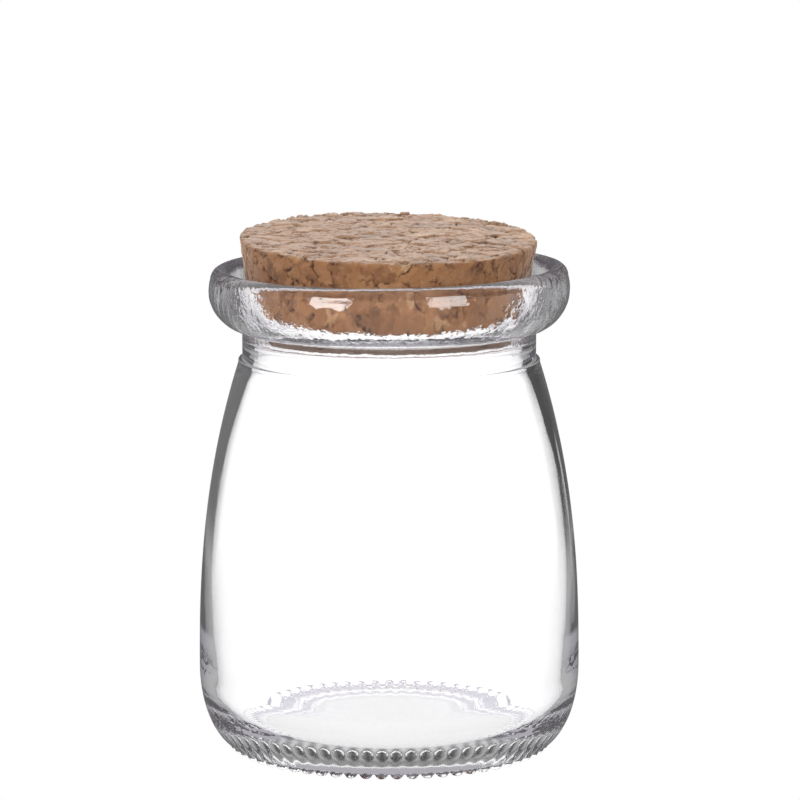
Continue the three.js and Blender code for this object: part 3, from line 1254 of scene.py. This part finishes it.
def make_floor():
    """A square that glows by the rule above, and is open for bent rays outside the jar's foot."""
    material, tree = new_material("floor")
    place = tree.node("ShaderNodeTexCoord", output="Object")
    reach = tree.node("ShaderNodeVectorMath", {"operation": "LENGTH"}, {0: place}, "Value")
    strength = seen_by(tree, ground_brightness(tree, place, reach))
    glow = tree.node("ShaderNodeEmission", None, {"Color": (1, 1, 1, 1), "Strength": strength})
    gone = tree.node("ShaderNodeBsdfTransparent")
    is_open = (tree.ray("Transmission Depth") > 0.5) * (reach > UNDER_JAR)
    tree.node("ShaderNodeOutputMaterial", None, {"Surface": tree.choose(is_open, glow, gone)})
    material.cycles.emission_sampling = "NONE"
    corners = np.array([[-1, -1, 0], [1, -1, 0], [1, 1, 0], [-1, 1, 0]]) * FLOOR_REACH / MM
    plane = mesh_object("floor", corners, np.array([[0, 1, 2, 3]]), np.zeros((0, 3), int), material)


make_floor()

# %% [markdown]
# ## Lamps
#
# Two large softboxes stand in front, left and right of the camera, and show as two bright patches
# on the lip. Two more behind light the top of the cork and keep the look from the other side. They
# are hidden from reflections, because the photograph shows only two patches.

# %% Softboxes
LAMP_DISTANCE = 0.95
LAMP_SIZE = (0.42, 0.22)
LAMP_AIM = (0, 0, 0.06)
FRONT_LAMPS = ((-39, 4.1), (37, 2.9))
FRONT_ELEVATION = math.radians(11)
BACK_POWER = 3.6
BACK_AZIMUTHS = (180 - 40, 180 + 40)
BACK_ELEVATION = math.radians(40)


def softbox(azimuth, elevation, power, mirrored):
    """An area lamp aimed at the jar. Azimuth 0 is the camera's side, and 90 is the right."""
    turn = math.radians(azimuth)
    level = LAMP_DISTANCE * math.cos(elevation)
    lamp = bpy.data.lights.new("softbox", "AREA")
    lamp.shape = "RECTANGLE"
    lamp.size, lamp.size_y = LAMP_SIZE
    lamp.energy = power
    placed = bpy.data.objects.new("softbox", lamp)
    placed.location = (
        LAMP_AIM[0] + level * math.sin(turn),
        LAMP_AIM[1] - level * math.cos(turn),
        LAMP_AIM[2] + LAMP_DISTANCE * math.sin(elevation),
    )
    placed.rotation_euler = (math.pi / 2 - elevation, 0, turn)
    placed.visible_glossy = mirrored
    placed.visible_transmission = False
    bpy.context.scene.collection.objects.link(placed)
    print("softbox at", azimuth, "degrees with", power, "W")


for azimuth, power in FRONT_LAMPS:
    softbox(azimuth, FRONT_ELEVATION, power, mirrored=True)
for azimuth in BACK_AZIMUTHS:
    softbox(azimuth, BACK_ELEVATION, BACK_POWER, mirrored=False)

# %% [markdown]
# ## Camera
#
# The camera stands about three quarters of a metre in front and looks down a little. Its lens
# follows from how large the jar is in an 800 pixel frame, and a small shift puts the jar's axis a
# few pixels left of the middle.

# %% Camera
CAMERA_BACK = 0.7529
CAMERA_HEIGHT = 0.1795
CAMERA_PITCH = math.radians(9.241)
CAMERA_NEAREST = 0.01
FRAME_PIXELS = 800
FOCAL_PIXELS = 4698.4
JAR_AXIS_PIXEL = 389.2
SENSOR_MM = 36


def make_camera():
    """A camera that looks level and forwards when its turn about X is 90 degrees, tipped down."""
    lens = bpy.data.cameras.new("camera")
    lens.sensor_width = SENSOR_MM
    lens.lens = FOCAL_PIXELS / FRAME_PIXELS * SENSOR_MM
    lens.shift_x = (FRAME_PIXELS / 2 - JAR_AXIS_PIXEL) / FRAME_PIXELS
    lens.clip_start = CAMERA_NEAREST
    camera = bpy.data.objects.new("camera", lens)
    camera.location = (0, -CAMERA_BACK, CAMERA_HEIGHT)
    camera.rotation_euler = (math.pi / 2 - CAMERA_PITCH, 0, 0)
    bpy.context.scene.collection.objects.link(camera)
    bpy.context.scene.camera = camera
    print("the lens is", round(lens.lens, 1), "mm long")


make_camera()

# %% [markdown]
# ## Light paths
#
# A ray through the jar meets four glass surfaces, and many more inside the thick foot, so the
# limits on bounces are raised. The one for reflections lies just past the depth at which caught
# light starts to glow. The Standard view shows colours as they are worked out, so that the white
# of the ground stays white.

# %% How light is followed and shown
scene = bpy.context.scene
scene.view_settings.view_transform = "Standard"
scene.cycles.max_bounces = 24
scene.cycles.transmission_bounces = 20
scene.cycles.glossy_bounces = CAUGHT_DEPTH + 1
scene.cycles.diffuse_bounces = 3
scene.cycles.transparent_max_bounces = 16
